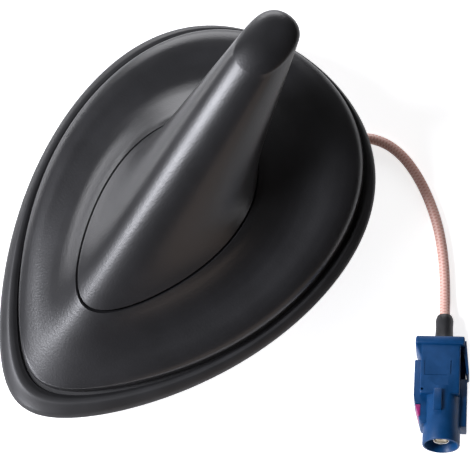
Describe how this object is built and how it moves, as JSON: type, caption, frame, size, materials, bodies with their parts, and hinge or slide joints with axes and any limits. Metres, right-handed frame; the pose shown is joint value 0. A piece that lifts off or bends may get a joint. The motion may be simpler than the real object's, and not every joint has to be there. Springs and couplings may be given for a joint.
{
  "type": "shark fin aerial",
  "caption": "Roof aerial: a teardrop cover with a swept-back fin over a cast base with a hollow threaded stud, and a short coaxial lead that ends in a coded plug.",
  "frame": {"origin": "on the stud's axis, in the plane of the roof skin's outer face, where the skirt and the stud gasket seat", "axes": "+Z away from the roof, nose towards -Y, tail towards +Y, +X to the right seen from above with the tail up"},
  "size_m": [0.1206, 0.1044, 0.0544],
  "materials": {
    "skirt_rubber": "soft black rubber, satin from its mould",
    "cover_plastic": "black plastic with a fine spark-eroded grain",
    "cast_alloy": "pressure-cast alloy, matt",
    "foam_rubber": "closed-cell foam",
    "spring_steel": "yellow passivated spring steel",
    "nut_steel": "zinc plated steel",
    "screw_steel": "plated steel",
    "board_laminate": "green solder resist over glass fibre",
    "ceramic": "fired ceramic",
    "silver_film": "fired silver",
    "feed_brass": "plated brass",
    "tin_sheet": "tinned sheet",
    "lead_jacket": "clear pink-brown jacket over silvered braid",
    "grommet_rubber": "moulded rubber",
    "boot_sleeve": "shrunk black sleeve",
    "ferrule_metal": "tinned brass",
    "plug_plastic": "blue moulded plastic, satin",
    "lock_plastic": "pink moulded plastic",
    "contact_metal": "bright tin plate",
    "insulator_plastic": "white fluoroplastic",
    "centre_metal": "gold plate"
  },
  "bodies": {
    "root": {"skirt_seal": "skirt_rubber", "base_cover": "cover_plastic", "fin_cover": "cover_plastic", "base_plate": "cast_alloy", "stud_gasket": "foam_rubber", "toothed_washer": "spring_steel", "mounting_nut": "nut_steel", "cover_screws": "screw_steel", "circuit_board": "board_laminate", "board_screws": "screw_steel", "patch_ceramic": "ceramic", "patch_film": "silver_film", "patch_feed_pin": "feed_brass", "shield_can": "tin_sheet", "lead_root": "lead_jacket", "lead_grommet": "grommet_rubber", "lead": "lead_jacket", "plug_boot": "boot_sleeve", "plug_ferrule": "ferrule_metal", "plug_housing": "plug_plastic", "plug_lock": "lock_plastic", "plug_outer_contact": "contact_metal", "plug_insulator": "insulator_plastic", "plug_centre_contact": "centre_metal"}
  },
  "joints": []
}
